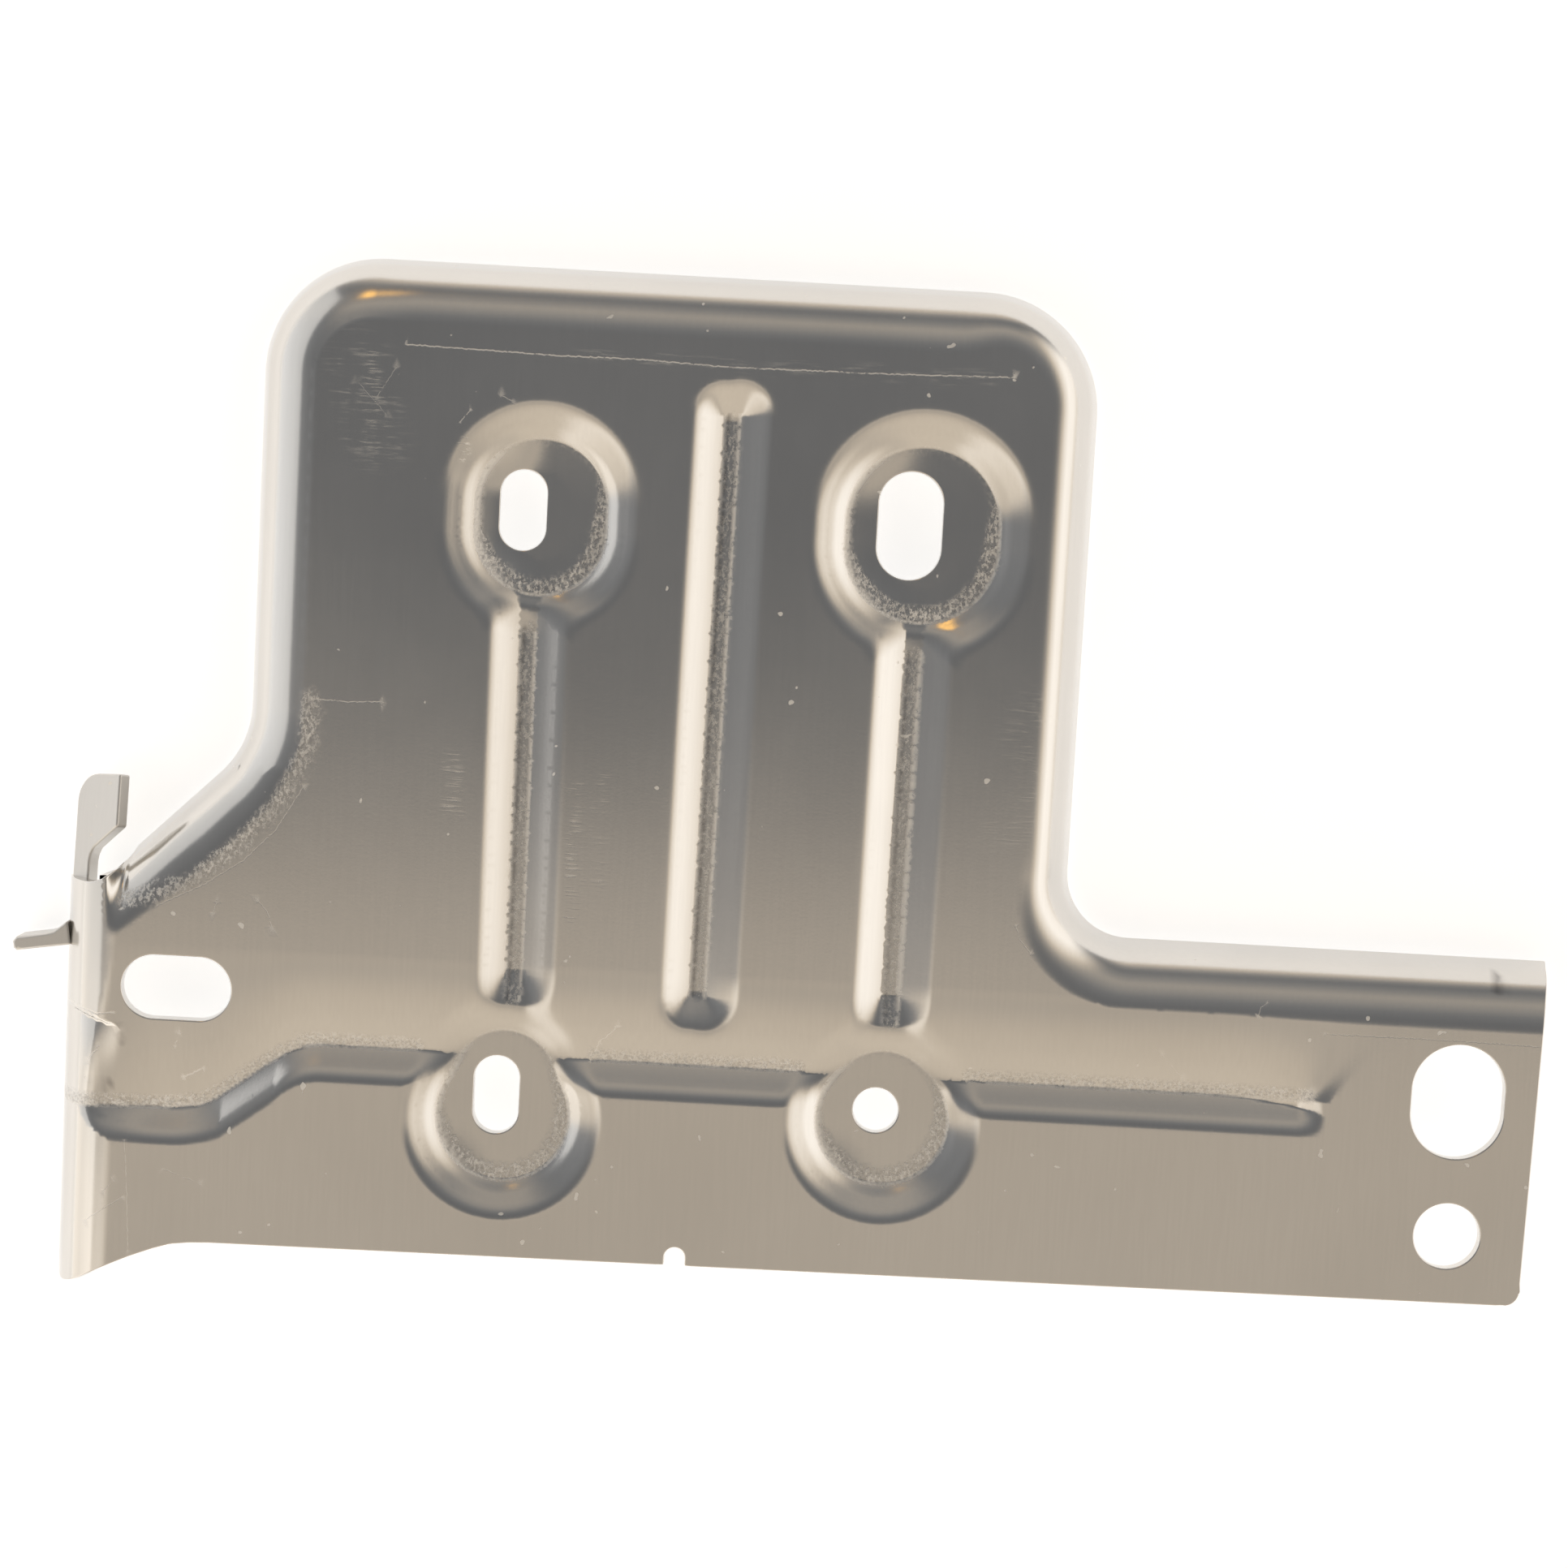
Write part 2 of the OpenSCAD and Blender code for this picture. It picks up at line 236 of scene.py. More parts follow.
def height(x, y):
    """The outer surface over the plan."""
    x, y = np.asarray(x, float), np.asarray(y, float)
    u = out_of_fold(x, y)
    # the fold starts later by the wall, where two bends meet in a gusset, and on the tower's right
    gusset = smooth(-x, 99, 112) * (1 - smooth(u, 1.0, 9.7)) * (y < 60)
    late = 1.7 * smooth(x, 5, 15) * smooth(y, 20, 40) * (1 - smooth(u, 2.5, 9.5))
    early = 0.8 * smooth(-x, 70, 82) * (y > 45) * smooth(u, 0, 1.5) * (1 - smooth(u, 3.5, 9.5))
    z_fold = bend_z(u - 1.2 * gusset - late + early)
    uw = WALL - x
    z_wall = bend_z(uw)
    # left of the wall's fold its bend takes over, softly where the diagonal meets it
    wall = smooth(-x, 110.4, 113.0)
    wall = 1 - (1 - wall) * smooth(y, DIA_FOOT, DIA_FOOT + 4)
    z = z_fold * (1 - wall) + z_wall * wall
    share = wall * (y > DIA_FOOT)
    z = np.where(x > WALL, np.where(y < 10, FRONT, z_fold * (1 - share) + z_wall * share), z)
    z = np.where((x > WALL) & (y < 45) & (x < 0), np.where(y > DIA_FOOT - 2, z, FRONT), z)
    z = np.where((x > WALL) & (x > -60), z_fold, z)
    d = depth(x, y)
    z = smin(z, FRONT - d, np.clip(1.2 * d, 1e-6, 1.0))
    # the pressed lobe in the wall's bend, below the crease
    crease = 7.4 + (-112.5 - x) * 0.27
    lobe = smooth(crease - y, 0, 0.5) * np.exp(-np.maximum(crease - y, 0) / 7.0)
    lobe *= smooth(-x, 109.5, 113.5) * (1 - smooth(uw, 6.5, 9.0))
    return z - 0.75 * lobe


def normals(x, y, e=0.02):
    """Unit normals of the outer surface, from its slope."""
    zx = (height(x + e, y) - height(x - e, y)) / (2 * e)
    zy = (height(x, y + e) - height(x, y - e)) / (2 * e)
    n = np.stack([-zx, -zy, np.ones_like(zx)], -1)
    return n / np.linalg.norm(n, axis=-1, keepdims=True)


# --- Plan outline and holes -----------------------------------------------------------------

def arc_pts(cx, cy, r, a0, a1, step=1.0):
    n = max(2, int(abs(math.radians(a1 - a0)) * r / step))
    return [(cx + r * math.cos(math.radians(a0 + (a1 - a0) * i / n)),
             cy + r * math.sin(math.radians(a0 + (a1 - a0) * i / n))) for i in range(n + 1)]


def line_pts(a, b, step=1.2):
    n = max(1, int(math.dist(a, b) / step))
    return [(a[0] + (b[0] - a[0]) * i / n, a[1] + (b[1] - a[1]) * i / n) for i in range(n + 1)]


def path(parts):
    pts = []
    for p in parts:
        for q in p:
            if not pts or math.dist(pts[-1], q) > 1e-4:
                pts.append(q)
    if math.dist(pts[0], pts[-1]) < 1e-4:
        pts.pop()
    return pts


def end_x(y):
    """The arm's raw end: slightly slanted, and leaning out down the flange."""
    u = y - ARM_TOP
    z = float(bend_z(np.array(max(u, 0.0))))
    return ARM_END + (y - BOTTOM_R) * 0.0122 + (FRONT - z) * 0.2035


def fold_offset(v):
    """The fold line moved out by v, from the arm's end to the wall, counter-clockwise."""
    pts = []
    ys = ARM_TOP + v
    pts += line_pts((end_x(ys), ys), (TOWER_R + ARM_R, ys))
    pts += arc_pts(TOWER_R + ARM_R, ARM_TOP + ARM_R, ARM_R - v, 270, 180)
    pts += line_pts((TOWER_R + v, ARM_TOP + ARM_R), (TOWER_R + v, TOWER_T - CORNER_R))
    pts += arc_pts(TOWER_R - CORNER_R, TOWER_T - CORNER_R, CORNER_R + v, 0, 90)
    pts += line_pts((TOWER_R - CORNER_R, TOWER_T + v), (TOWER_L + CORNER_R, TOWER_T + v))
    pts += arc_pts(TOWER_L + CORNER_R, TOWER_T - CORNER_R, CORNER_R + v, 90, 180)
    pts += line_pts((TOWER_L - v, TOWER_T - CORNER_R), (TOWER_L - v, DIA_Y0))
    pts += arc_pts(DIA_CX, DIA_Y0, DIA_R - v, 0, -math.degrees(DIA))
    p0 = (DIA_CX + (DIA_R - v) * math.cos(DIA), DIA_Y0 - (DIA_R - v) * math.sin(DIA))
    run = (p0[0] - WALL) / math.sin(DIA)
    pts += line_pts(p0, (WALL, p0[1] + run * DIA_DIR[1]))
    return pts


# the torn edge between the diagonal's end and the wall's top
TORN = [(-110.75, 31.3), (-111.0, 30.6), (-111.35, 30.1), (-111.55, 29.5), (-112.1, 29.0),
        (-112.5, 28.6), (-113.0, 28.35), (-113.5, 28.0), (-114.1, 27.75), (-114.8, 27.5),
        (-115.6, 27.35), (-116.4, 27.3)]
NOTCH_X, NOTCH_R, NOTCH_TOP = -28.1, 1.5, -21.4


def bottom_y(x):
    return BOTTOM_L + (x + 96) * (BOTTOM_R - BOTTOM_L) / (ARM_END + 96)


def swoop():
    """The bottom edge from the arm's end to the wall, right to left."""
    pts = []
    xr = end_x(-21)
    pts += arc_pts(xr - 2.2, bottom_y(xr) + 2.2, 2.2, 0, -90, 0.3)
    # the notch in the bottom edge
    low, high = bottom_y(NOTCH_X), NOTCH_TOP - NOTCH_R
    right, left = NOTCH_X + NOTCH_R, NOTCH_X - NOTCH_R
    pts += line_pts((xr - 2.2, bottom_y(xr - 2.2)), (right, low))
    pts += line_pts((right, low), (right, high), 0.4)
    pts += arc_pts(NOTCH_X, high, NOTCH_R, 0, 180, 0.3)
    pts += line_pts((left, high), (left, low), 0.4)
    pts += line_pts((left, low), (-93, bottom_y(-93)))
    knots = [(-93, -24.58), (-96, -24.6), (-99, -24.75), (-101.7, -25.1), (-104.2, -25.9),
             (-107.5, -27.2), (-109.9, -28.3), (-112.4, -29.5), (-115, -31.0), (-116.8, -31.9),
             (-118.2, -32.4), (-119.6, -32.5)]
    xs = [-k[0] for k in knots]
    ys = [k[1] for k in knots]
    for i in range(1, 61):
        t = xs[0] + (xs[-1] - xs[0]) * i / 60
        pts.append((-t, float(np.interp(t, xs, ys))))
    return pts


def outline():
    """Counter-clockwise, from the arm's end at the rim."""
    ys = [ARM_TOP + RIM - i * 0.4 for i in range(int(RIM / 0.4) + 1)] + [ARM_TOP]
    right_end = [(end_x(y), y) for y in ys]
    lower = line_pts((end_x(ARM_TOP), ARM_TOP), (end_x(-21), -21))
    wall_x = WALL - RIM
    parts = [
        fold_offset(RIM),
        TORN,
        line_pts(TORN[-1], (wall_x, WALL_TOP), 0.5),
        line_pts((wall_x, WALL_TOP), (wall_x, -31.9)),
        list(reversed(swoop())),
        list(reversed(right_end + lower)),
    ]
    return path(parts)


def slot_pts(cx, cy, w, h):
    """Clockwise round slot, w wide and h high."""
    r = min(w, h) / 2
    if h >= w:
        s = (h - w) / 2
        p = arc_pts(cx, cy + s, r, 180, 0, 0.35) + arc_pts(cx, cy - s, r, 0, -180, 0.35)
    else:
        s = (w - h) / 2
        p = arc_pts(cx + s, cy, r, 90, -90, 0.35) + arc_pts(cx - s, cy, r, -90, -270, 0.35)
    return path([p, [p[0]]])


# the round ones are a hair taller than wide, so that their two halves stay apart
HOLES = [
    slot_pts(0, 0, 6.6, 6.6001), slot_pts(-55.4, -0.8, 6.6, 11.5), slot_pts(-55.4, 84.2, 6.6, 11.5),
    slot_pts(0, 85, 9.2, 15.4), slot_pts(-102.1, 12.7, 15.8, 9.4), slot_pts(84, 6.5, 13.4, 16.7),
    slot_pts(83.9, -13.3, 9.6, 9.6001),
]
def offset_loop(pts, d):
    """Moves a closed loop inward to the sheet, which is on its left."""
    n = len(pts)
    out = []
    for i in range(n):
        a, b, c = pts[i - 1], pts[i], pts[(i + 1) % n]
        ux, uy = b[0] - a[0], b[1] - a[1]
        vx, vy = c[0] - b[0], c[1] - b[1]
        lu, lv = math.hypot(ux, uy), math.hypot(vx, vy)
        nx, ny = -uy / lu - vy / lv, ux / lu + vx / lv
        q = nx * nx + ny * ny
        f = 2 / max(q, 0.8)
        out.append((b[0] + nx * f * d, b[1] + ny * f * d))
    return out


def inside(px, py, loop):
    """Even-odd test of many points against a loop."""
    res = np.zeros(px.shape, bool)
    n = len(loop)
    for i in range(n):
        x0, y0 = loop[i - 1]
        x1, y1 = loop[i]
        if y0 == y1:
            continue
        hit = ((y0 > py) != (y1 > py)) & (px < (x1 - x0) * (py - y0) / (y1 - y0) + x0)
        res ^= hit
    return res


def near(px, py, pts, r):
    """Which points lie within r of a loop's points, by a coarse grid of cells."""
    cells = set()
    for x, y in pts:
        cx, cy = int(math.floor(x / r)), int(math.floor(y / r))
        for i in (-1, 0, 1):
            for j in (-1, 0, 1):
                cells.add((cx + i, cy + j))
    cand = np.array([(int(math.floor(a / r)), int(math.floor(b / r))) in cells for a, b in zip(px, py)])
    res = np.zeros(px.shape, bool)
    idx = np.nonzero(cand)[0]
    p = np.array(pts)
    for s in range(0, len(idx), 4000):
        k = idx[s:s + 4000]
        d = np.min((px[k, None] - p[None, :, 0]) ** 2 + (py[k, None] - p[None, :, 1]) ** 2, axis=1)
        res[k] = d < r * r
    return res


# --- Wear, with painted highlight and shade ---------------------------------------------------

# fine bright scratches: points in mm, width, strength
SCRATCHES = [
    ([(-72.9, 106.6), (-52.2, 106.2), (-40, 106.3), (-26.8, 105.9), (-3.9, 106.2), (13.3, 106.7)],
     0.13, 0.9),
    ([(-84.0, 55.7), (-79, 55.5), (-74.2, 55.8)], 0.10, 0.6),
    ([(-108.8, -10.0), (-108.2, -18), (-107.8, -26.3)], 0.08, 0.35),
    ([(-114.3, -22.4), (-111.5, -20.2), (-108.9, -18.5)], 0.09, 0.6),
    ([(-111.6, -17.7), (-110.4, -16.1)], 0.09, 0.6),
    ([(-103.1, -13.9), (-97.7, -15.8)], 0.08, 0.35),
    ([(-100.8, -0.5), (-98.0, 0.9)], 0.20, 0.8),
    ([(-102.2, 4.2), (-101.5, 5.9)], 0.10, 0.6),
    ([(-114.9, 1.3), (-113.5, 2.9)], 0.13, 0.7),
    ([(64.1, 15.4), (79.0, 15.5), (95.3, 15.3)], 0.09, 0.5),
    ([(-64.7, 96.1), (-63.3, 97.9)], 0.09, 0.7),
    ([(-41.9, 4.9), (-40.7, 8.0)], 0.12, 0.8),
    ([(-40.7, 8.0), (-39.6, 9.0), (-38.2, 10.5)], 0.12, 0.8),
    ([(18.5, 28.7), (19.2, 26.6), (20.9, 24.7)], 0.08, 0.6),
    ([(54.2, 17.5), (54.6, 18.8), (55.5, 19.4)], 0.08, 0.6),
    ([(-105.1, 24.7), (-98.6, 28.0), (-93.0, 31.9), (-88.6, 36.4), (-84.8, 43.0)], 0.10, 0.5),
    ([(-97.2, 24.0), (-96.6, 25.6)], 0.08, 0.5),
    ([(-90.7, 26.1), (-89.3, 24.6), (-88.6, 22.4)], 0.08, 0.5),
    ([(-59.0, 100.2), (-57.4, 99.4)], 0.09, 0.5),
    ([(-120.6, 9.9), (-117.0, 9.0), (-113.5, 8.3), (-111.2, 8.6)], 0.16, 0.8),
    ([(-118.0, -5.0), (-113.4, -5.4)], 0.22, 0.8),
    ([(44.0, 7.6), (41.0, 10.8)], 0.07, 0.35),
    ([(-76.6, 99.0), (-74.1, 103.2)], 0.08, 0.45),
    ([(-79.4, 101.0), (-75.2, 96.6)], 0.07, 0.4),
]


def jitter(pts, step=0.34, amount=0.07):
    """A scratch's path in short steps that wander a little."""
    res = []
    for a, b in zip(pts[:-1], pts[1:]):
        for q in line_pts(a, b, step)[(1 if res else 0):]:
            res.append((q[0] + random.uniform(-amount, amount),
                        q[1] + random.uniform(-amount, amount)))
    return res


PATHS = [(jitter(pts), w, s) for pts, w, s in SCRATCHES]


def seg_dist(x, y, a, b):
    dx, dy = b[0] - a[0], b[1] - a[1]
    h = np.clip(((x - a[0]) * dx + (y - a[1]) * dy) / (dx * dx + dy * dy), 0, 1)
    return np.hypot(x - a[0] - dx * h, y - a[1] - dy * h)


def poly_dist(x, y, pts):
    return np.min([seg_dist(x, y, a, b) for a, b in zip(pts[:-1], pts[1:])], axis=0)


# where the tool rubbed: the grooves' noses, the trough's crisp line and along the diagonal
NOSES = ((-53.7, -53.9, 13.4, 67.5), (-26.9, -26.2, 15.5, 99), (1.2, 1.5, 13.0, 67))
TROUGH_RUNS = (
    [(-119, TROUGH_LOW), (-103.4, TROUGH_LOW), (-97.8, -4.3), (-95.6, -3.0), (-89.6, 1.5),
     (-86.5, 3.6), (-83.5, 4.8), (-80.5, 5.2), (-67, 5.2)],
    [(-41.5, 5.2), (-11.5, 5.2)], [(13, 5.2), (62.5, 5.2)],
)
DIAGONAL_BAND = [(-84.2, 55.8), (-84.6, 48.2), (-88.0, 41.0), (-93.6, 34.4), (-100.2, 28.7),
                 (-110.0, 25.0)]
# two ends, half width and strength
SCUFFS = (((-46, 44.5), (-45.4, 26.3), 1.0, 0.5), ((-42.3, 46.5), (-41.7, 30), 0.6, 0.4),
          ((-63.6, 48.2), (-63.5, 40.6), 1.2, 0.5), ((-64.0, 93.3), (-64.0, 91.4), 0.8, 1.0),
          ((20, 60), (17, 44), 4.0, 0.14), ((-52, 106.3), (10, 106), 1.0, 0.25),
          ((-79.6, 104), (-76.5, 93), 4.5, 0.35))
STAINS = (((-111.4, -1.6), (-112.4, -2.9), 0.5, 0.5), ((89.6, 24.4), (89.3, 22.6), 0.9, 0.6),
          ((-110.0, 4.5), (-110.2, 6.6), 0.9, 0.3))


def wear_and_painted_light_at(x, y):
    """Shares of galling, bright line and painted highlight, scuff, and stain and painted shade at
    points of the outer surface.
    """
    gall, line_and_highlight, scuff, stain_and_shade = (np.zeros_like(x) for _ in range(4))
    for (cx, y0, y1, r0, r1), heavy in zip(PADS, (1.0, 1.0, 0.75, 0.75)):
        d = capsule(x, y, cx, y0, y1, r0, r1)
        low = 1 - smooth(y - 0.35 * (x - cx), y0 - 4, y1 + 3)
        left = smooth((cx - x) / r0, 0.3, 0.95)
        wide = -0.5 - 1.5 * low
        band = smooth(d, wide - 0.5, wide + 0.2) * (1 - smooth(d, 0.0, 0.5))
        gall = np.maximum(gall, band * (0.22 + 0.75 * heavy * low))
        line_and_highlight = np.maximum(line_and_highlight, np.clip(1 - np.abs(d - 0.1) / 0.3, 0, 1) * (0.25 + 0.5 * low))
        # painted highlight: a bright band along each pad's inner rim, on its left side only, where the
        # light falls
        line_and_highlight = np.maximum(line_and_highlight, np.clip(1.2 - np.abs(d + 0.2) / 0.55, 0, 1) * left)
    # the grooves' noses: a dull channel between two thin bright lines, and a line of painted shade
    # along the groove's bottom
    for gx0, gx1, y0, y1 in NOSES:
        d = seg_dist(x, y, (gx0, y0), (gx1, y1))
        gall = np.maximum(gall, 0.4 * (1 - smooth(d, 0.7, 1.2)))
        # each line: its offset, its share of bright tool line and its share of painted shade
        for off, bright, dark in ((1.1, 1.0, 0.0), (-1.1, 0.5, 0.0), (-0.6, 0.0, 0.6)):
            d = seg_dist(x, y, (gx0 + off, y0), (gx1 + off, y1))
            share = np.clip(1.15 - d / 0.3, 0, 1)
            line_and_highlight = np.maximum(line_and_highlight, bright * share)
            stain_and_shade = np.maximum(stain_and_shade, dark * share)
    # along the trough's crisp line
    for run in TROUGH_RUNS:
        up = [(a, b + 0.75) for a, b in run]
        gall = np.maximum(gall, 1 - smooth(poly_dist(x, y, up), 0.5, 1.2))
        line_and_highlight = np.maximum(line_and_highlight, np.clip(1 - poly_dist(x, y, run) / 0.3, 0, 1) * 0.8)
    gall = np.maximum(gall, 0.8 * (1 - smooth(poly_dist(x, y, DIAGONAL_BAND), 0.6, 1.8)))
    for a, b, w, k in SCUFFS:
        scuff = np.maximum(scuff, k * (1 - smooth(seg_dist(x, y, a, b), w * 0.4, w * 1.4)))
    for a, b, w, k in STAINS:
        stain_and_shade = np.maximum(stain_and_shade, k * (1 - smooth(seg_dist(x, y, a, b), w * 0.4, w)))
    for pts, w, s in PATHS:
        d = poly_dist(x, y, pts)
        line_and_highlight = np.maximum(line_and_highlight, s * np.clip(1 - d / w, 0, 1))
    return np.stack([gall, line_and_highlight, scuff, stain_and_shade], -1)


# --- The sheet's mesh --------------------------------------------------------------------------

def capsule_path(pad, d):
    """A pad's outline moved out by d."""
    cx, y0, y1, r0, r1 = pad
    tilt = math.degrees(math.asin((r0 - r1) / (y1 - y0)))
    return (arc_pts(cx, y0, r0 + d, 180 - tilt, 360 + tilt, 0.65)
            + line_pts((cx + r0 + d, y0 + 0.5), (cx + r1 + d, y1 - 0.5), 0.65)
            + arc_pts(cx, y1, r1 + d, tilt, 180 - tilt, 0.65)
            + line_pts((cx - r1 - d, y1 - 0.5), (cx - r0 - d, y0 + 0.5), 0.65))


def thin(points, r, held=(), r_held=0.0):
    """Drops points closer than r to one already kept, or than r_held to one of those held."""
    kept, cells = [], {}
    if len(held):
        points = points[~near(points[:, 0], points[:, 1], held, r_held)]
    for x, y in points:
        i, j = int(x // r), int(y // r)
        close = False
        for a in (i - 1, i, i + 1):
            for b in (j - 1, j, j + 1):
                for u, v in cells.get((a, b), ()):
                    if (u - x) ** 2 + (v - y) ** 2 < r * r:
                        close = True
        if not close:
            cells.setdefault((i, j), []).append((x, y))
            kept.append((float(x), float(y)))
    return kept


def fold_rows(k=20):
    """Distances from the fold line, close together where the bend is steep."""
    rows = []
    arc_len = BEND_R * math.atan2(BEND_SIN, BEND_COS)
    for i in range(k):
        a = (arc_len + LIP) * i / k
        rows.append(BEND_R * math.sin(a / BEND_R) if a < arc_len else
                    BEND_R * BEND_SIN + (a - arc_len) * BEND_COS)
    return rows


def grid(x0, x1, y0, y1, sx, sy, stagger=0.0):
    gx, gy = np.meshgrid(np.arange(x0, x1, sx), np.arange(y0, y1, sy))
    gx[1::2] += stagger
    return gx.ravel(), gy.ravel()


def candidates():
    """Points for the mesh, with rows along the folds and the pressings' own lines."""
    cand = []
    rows = fold_rows()
    for v in rows:
        cand += fold_offset(v)
    for v in rows:
        cand += line_pts((WALL - v, WALL_TOP - 0.4), (WALL - v, -32), 1.2)
        cand += line_pts((WALL - v, 9.8), (WALL - v, 6.2), 0.35)
    cand += list(zip(*grid(-115, -107, DIA_FOOT - 2, WALL_TOP + 4, 0.4, 0.5)))
    for pad in PADS:
        for d in (-4, -3, -2.2, -1.4, -0.7, -0.25, 0.1, 0.45, 0.9, 1.4, 2, 2.6, 3.2, 3.8, 4.4, 5,
                  5.6, 6.2):
            cand += capsule_path(pad, d)
    for x0, x1, y0, y1 in ((-53.6, -53.9, 14, 77), (-26.9, -26.2, 15.5, 99), (1, 1.5, 13.6, 79)):
        for o in (1.1, 1.6, 2.4, 3.3, 4.3, 5.3, 6.3):
            cand += arc_pts(x0, y0, o, 180, 360, 0.6)
        for o in (0, 0.6, 1.1, 1.4, 1.9, 2.5, 3.1, 3.7, 4.3, 4.9, 5.5, 6.1, 6.8):
            cand += line_pts((x0 - o, y0), (x1 - o, y1), 0.8)
            cand += line_pts((x0 + o, y0), (x1 + o, y1), 0.8)
    tx = np.arange(-119, 66, 0.6)
    ty, tc = trough_line(tx)
    for o in (0.9, 0.4, 0.12, -0.12, -0.5, -1, -1.5, -2.1, -2.7, -3.3, -3.9, -4.5, -5.2):
        cand += list(zip(tx, ty + o / tc))
    # a fine grid over the pressings, and a coarse one over the plane
    fine = 0.66
    fx, fy = grid(-113, 78, -21, 108, fine, fine, fine / 2)
    keep = (reach(fx, fy) > 0.002) & (out_of_fold(fx, fy) < -0.3) & (fx > WALL + 0.3)
    by_pads = (np.hypot(fx, fy) < 16) | (np.hypot(fx + 54.5, fy) < 16)
    keep &= (fy > 16) | (fy < 6) | by_pads | (fx > 58)
    cand += list(zip(fx[keep], fy[keep]))
    cand += list(zip(*grid(-110, 97, -24, 110, 1.5, 1.5, 0.75)))
    return cand


def build_sheet():
    """The closed sheet: its points, normals, triangles, and wear with its painted highlight and painted
    shade.
    """
    loops = [outline()] + HOLES
    rings = [offset_loop(lp, EDGE_R) for lp in loops]
    pts, edges = [], []
    for lp in rings:
        s = len(pts)
        pts += lp
        edges += [(s + i, s + (i + 1) % len(lp)) for i in range(len(lp))]
    cand = candidates()
    c = np.array(cand)
    ok = inside(c[:, 0], c[:, 1], rings[0])
    for lp in rings[1:]:
        ok &= ~inside(c[:, 0], c[:, 1], lp)
    flat = [q for lp in rings for q in lp]
    ok &= ~near(c[:, 0], c[:, 1], flat, 0.3)
    # the scratches' own points: their middles, and a row on each side
    marks = []
    for path_pts, w, _ in PATHS:
        side = offset_loop(path_pts, w)[1:-1], offset_loop(path_pts, -w)[1:-1]
        for q in path_pts + side[0] + side[1]:
            marks.append(q)
    mk = np.array(marks)
    good = inside(mk[:, 0], mk[:, 1], rings[0]) & ~near(mk[:, 0], mk[:, 1], flat, 0.3)
    marks = thin(mk[good], 0.05)
    pts += marks + thin(c[ok], 0.29, marks, 0.2)
    res = delaunay_2d_cdt([Vector(p) for p in pts], edges, [], 0, 1e-7)
    out_v = np.array([tuple(v) for v in res[0]])
    tri = np.array([tuple(f) for f in res[2] if len(f) == 3])
    orig = res[3]
    mid = out_v[tri].mean(axis=1)
    ok = inside(mid[:, 0], mid[:, 1], rings[0])
    for lp in rings[1:]:
        ok &= ~inside(mid[:, 0], mid[:, 1], lp)
    tri = tri[ok]
    a, b, d = out_v[tri[:, 0]], out_v[tri[:, 1]], out_v[tri[:, 2]]
    area = (b[:, 0] - a[:, 0]) * (d[:, 1] - a[:, 1]) - (b[:, 1] - a[:, 1]) * (d[:, 0] - a[:, 0])
    flip = area < 0
    tri[flip] = tri[flip][:, ::-1]
    where = {}
    for i, o in enumerate(orig):
        for q in o:
            where[q] = i
    x, y = out_v[:, 0], out_v[:, 1]
    n = normals(x, y)
    z = height(x, y)
    top = np.stack([x, y, z], -1)
    back = top - n * T
    nv = len(top)
    verts = [top, back]
    vn = [n, -n]
    faces = [tri, tri[:, ::-1] + nv]
    base = 2 * nv
    # edge bands: from the ring on top, round the outer loop, to the ring at the back;
    # each row's way out and down, and its normal's share of both
    bands = (((EDGE_R * 0.7, EDGE_R * 0.29), (0.7, 0.7)), ((EDGE_R, EDGE_R), (1, 0)),
             ((EDGE_R, T - EDGE_R), (1, 0)), ((EDGE_R * 0.7, T - EDGE_R * 0.29), (0.7, -0.7)))
    s = 0
    for lp in loops:
        m = len(lp)
        ring = [where[s + i] for i in range(m)]
        s += m
        lx, ly = np.array([p[0] for p in lp]), np.array([p[1] for p in lp])
        ln = normals(lx, ly)
        lt = np.stack([lx, ly, height(lx, ly)], -1)
        inner = top[ring]
        side = lt - inner
        side -= ln * np.sum(side * ln, axis=1, keepdims=True)
        side /= np.maximum(np.linalg.norm(side, axis=1, keepdims=True), 1e-9)
        rows = [np.array(ring)]
        for (out, down), (c1, c2) in bands:
            verts.append(inner + side * out - n[ring] * down)
            w = side * c1 + n[ring] * c2
            vn.append(w / np.linalg.norm(w, axis=1, keepdims=True))
            rows.append(np.arange(base, base + m))
            base += m
        rows.append(np.array(ring) + nv)
        for r0, r1 in zip(rows[:-1], rows[1:]):
            nx0, nx1 = np.roll(r0, -1), np.roll(r1, -1)
            faces.append(np.stack([r0, r1, nx1], -1))
            faces.append(np.stack([r0, nx1, nx0], -1))
    v = np.concatenate(verts) * MM
    wear_and_painted_light = np.zeros((len(v), 4))
    # wear, painted highlight and painted shade, on the outer surface only
    wear_and_painted_light[:nv] = wear_and_painted_light_at(x, y)
    return v, np.concatenate(vn), np.concatenate(faces), wear_and_painted_light


def add_object(name, data):
    ob = bpy.data.objects.new(name, data)
    bpy.context.scene.collection.objects.link(ob)
    return ob


def make_mesh(name, v, f, nn):
    """A smooth mesh with its own normals."""
    me = bpy.data.meshes.new(name)
    me.from_pydata(v.tolist(), [], f.tolist())
    me.polygons.foreach_set("use_smooth", [True] * len(me.polygons))
    me.update()
    me.normals_split_custom_set_from_vertices([tuple(q) for q in nn])
    return add_object(name, me)


